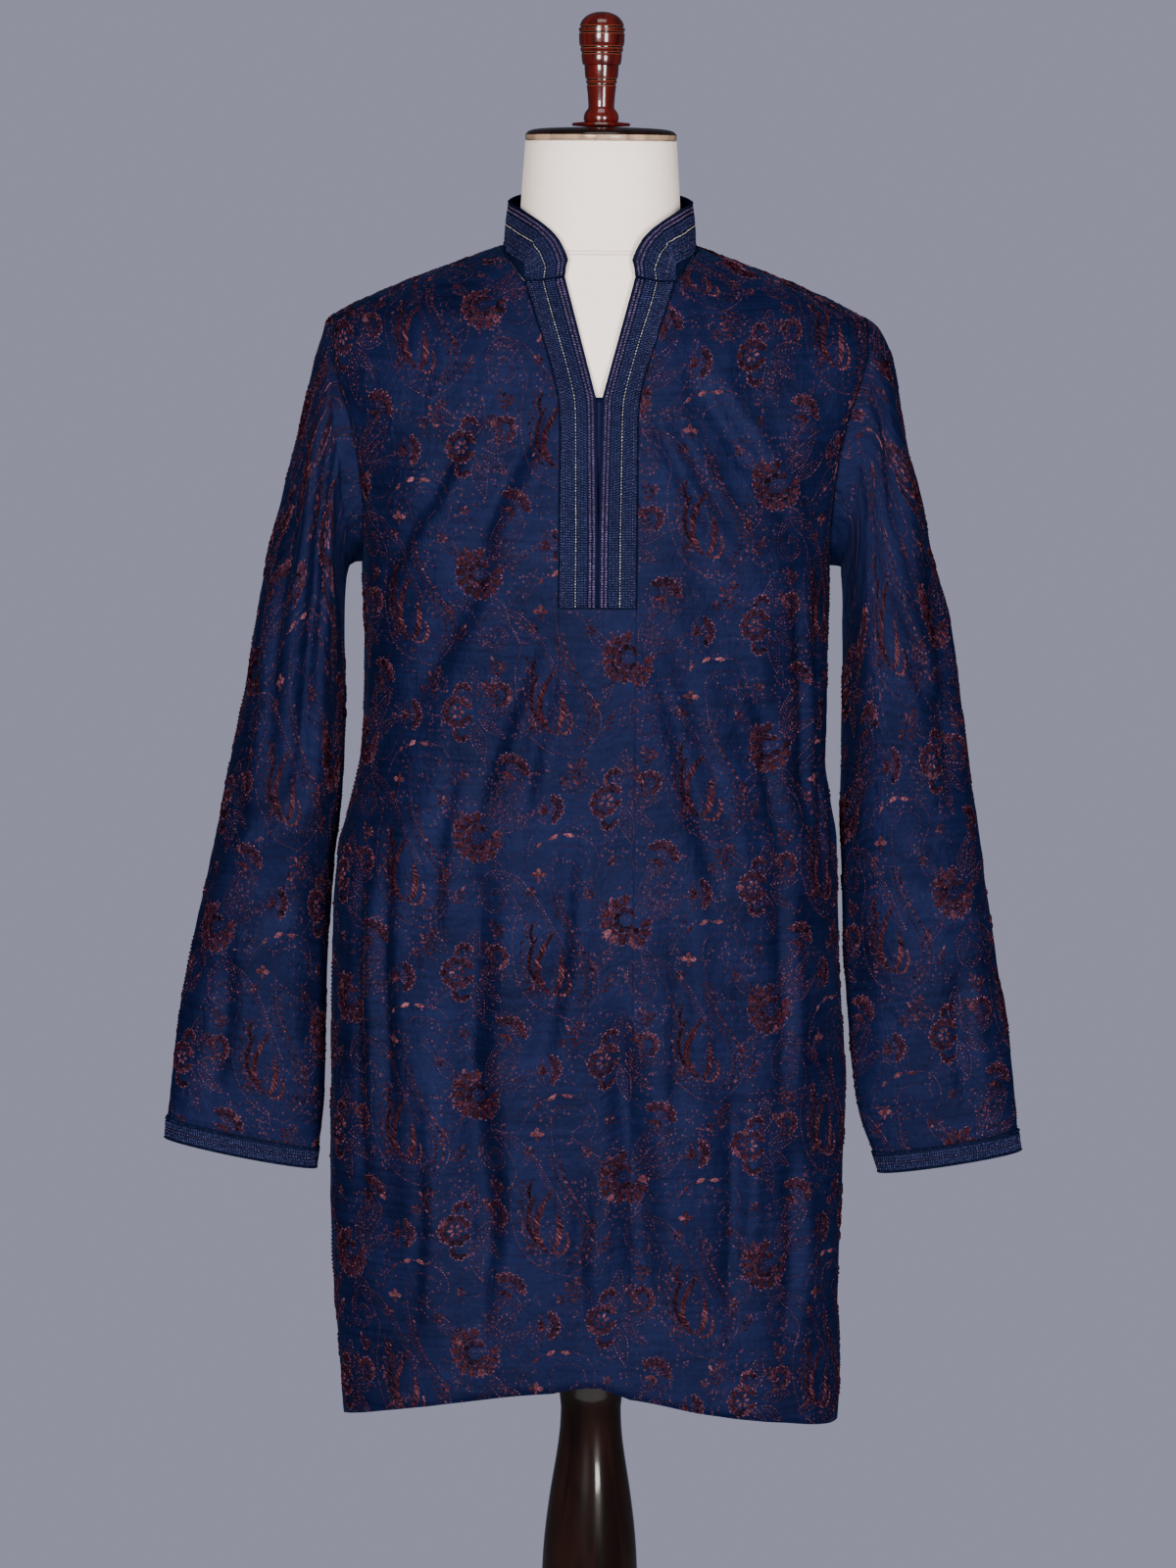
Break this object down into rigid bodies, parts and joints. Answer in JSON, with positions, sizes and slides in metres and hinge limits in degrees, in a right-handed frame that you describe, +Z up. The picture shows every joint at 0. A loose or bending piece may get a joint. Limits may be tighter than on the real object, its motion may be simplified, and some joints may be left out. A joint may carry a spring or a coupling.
{
  "type": "kurta on dress form",
  "caption": "Long-sleeved kurta with stand collar, placket and cuff bands, on a limbless cloth-covered dress form with neck cap, finial, turned column and round foot.",
  "frame": {"origin": "centre of the foot's underside, on the floor", "axes": "+X to the viewer's right, +Z up; the garment's front faces -Y"},
  "size_m": [0.7074, 0.39, 1.643],
  "materials": {
    "navy_satin": "navy satin with maroon embroidery",
    "stitched_trim": "navy trim covered with rows of light stitches",
    "cream_linen": "matt cream linen",
    "mahogany": "glossy red mahogany lacquer",
    "dark_wood": "glossy nearly black lacquer"
  },
  "bodies": {
    "root": {"kurta_front": "navy_satin", "kurta_back": "navy_satin", "sleeve_left": "navy_satin", "sleeve_right": "navy_satin", "placket_underlap": "navy_satin", "collar": "stitched_trim", "placket_band_left": "stitched_trim", "placket_band_right": "stitched_trim", "cuff_left": "stitched_trim", "cuff_right": "stitched_trim", "form_torso": "cream_linen", "neck_cap": "dark_wood", "finial": "mahogany", "column": "dark_wood", "base": "dark_wood"}
  },
  "joints": []
}
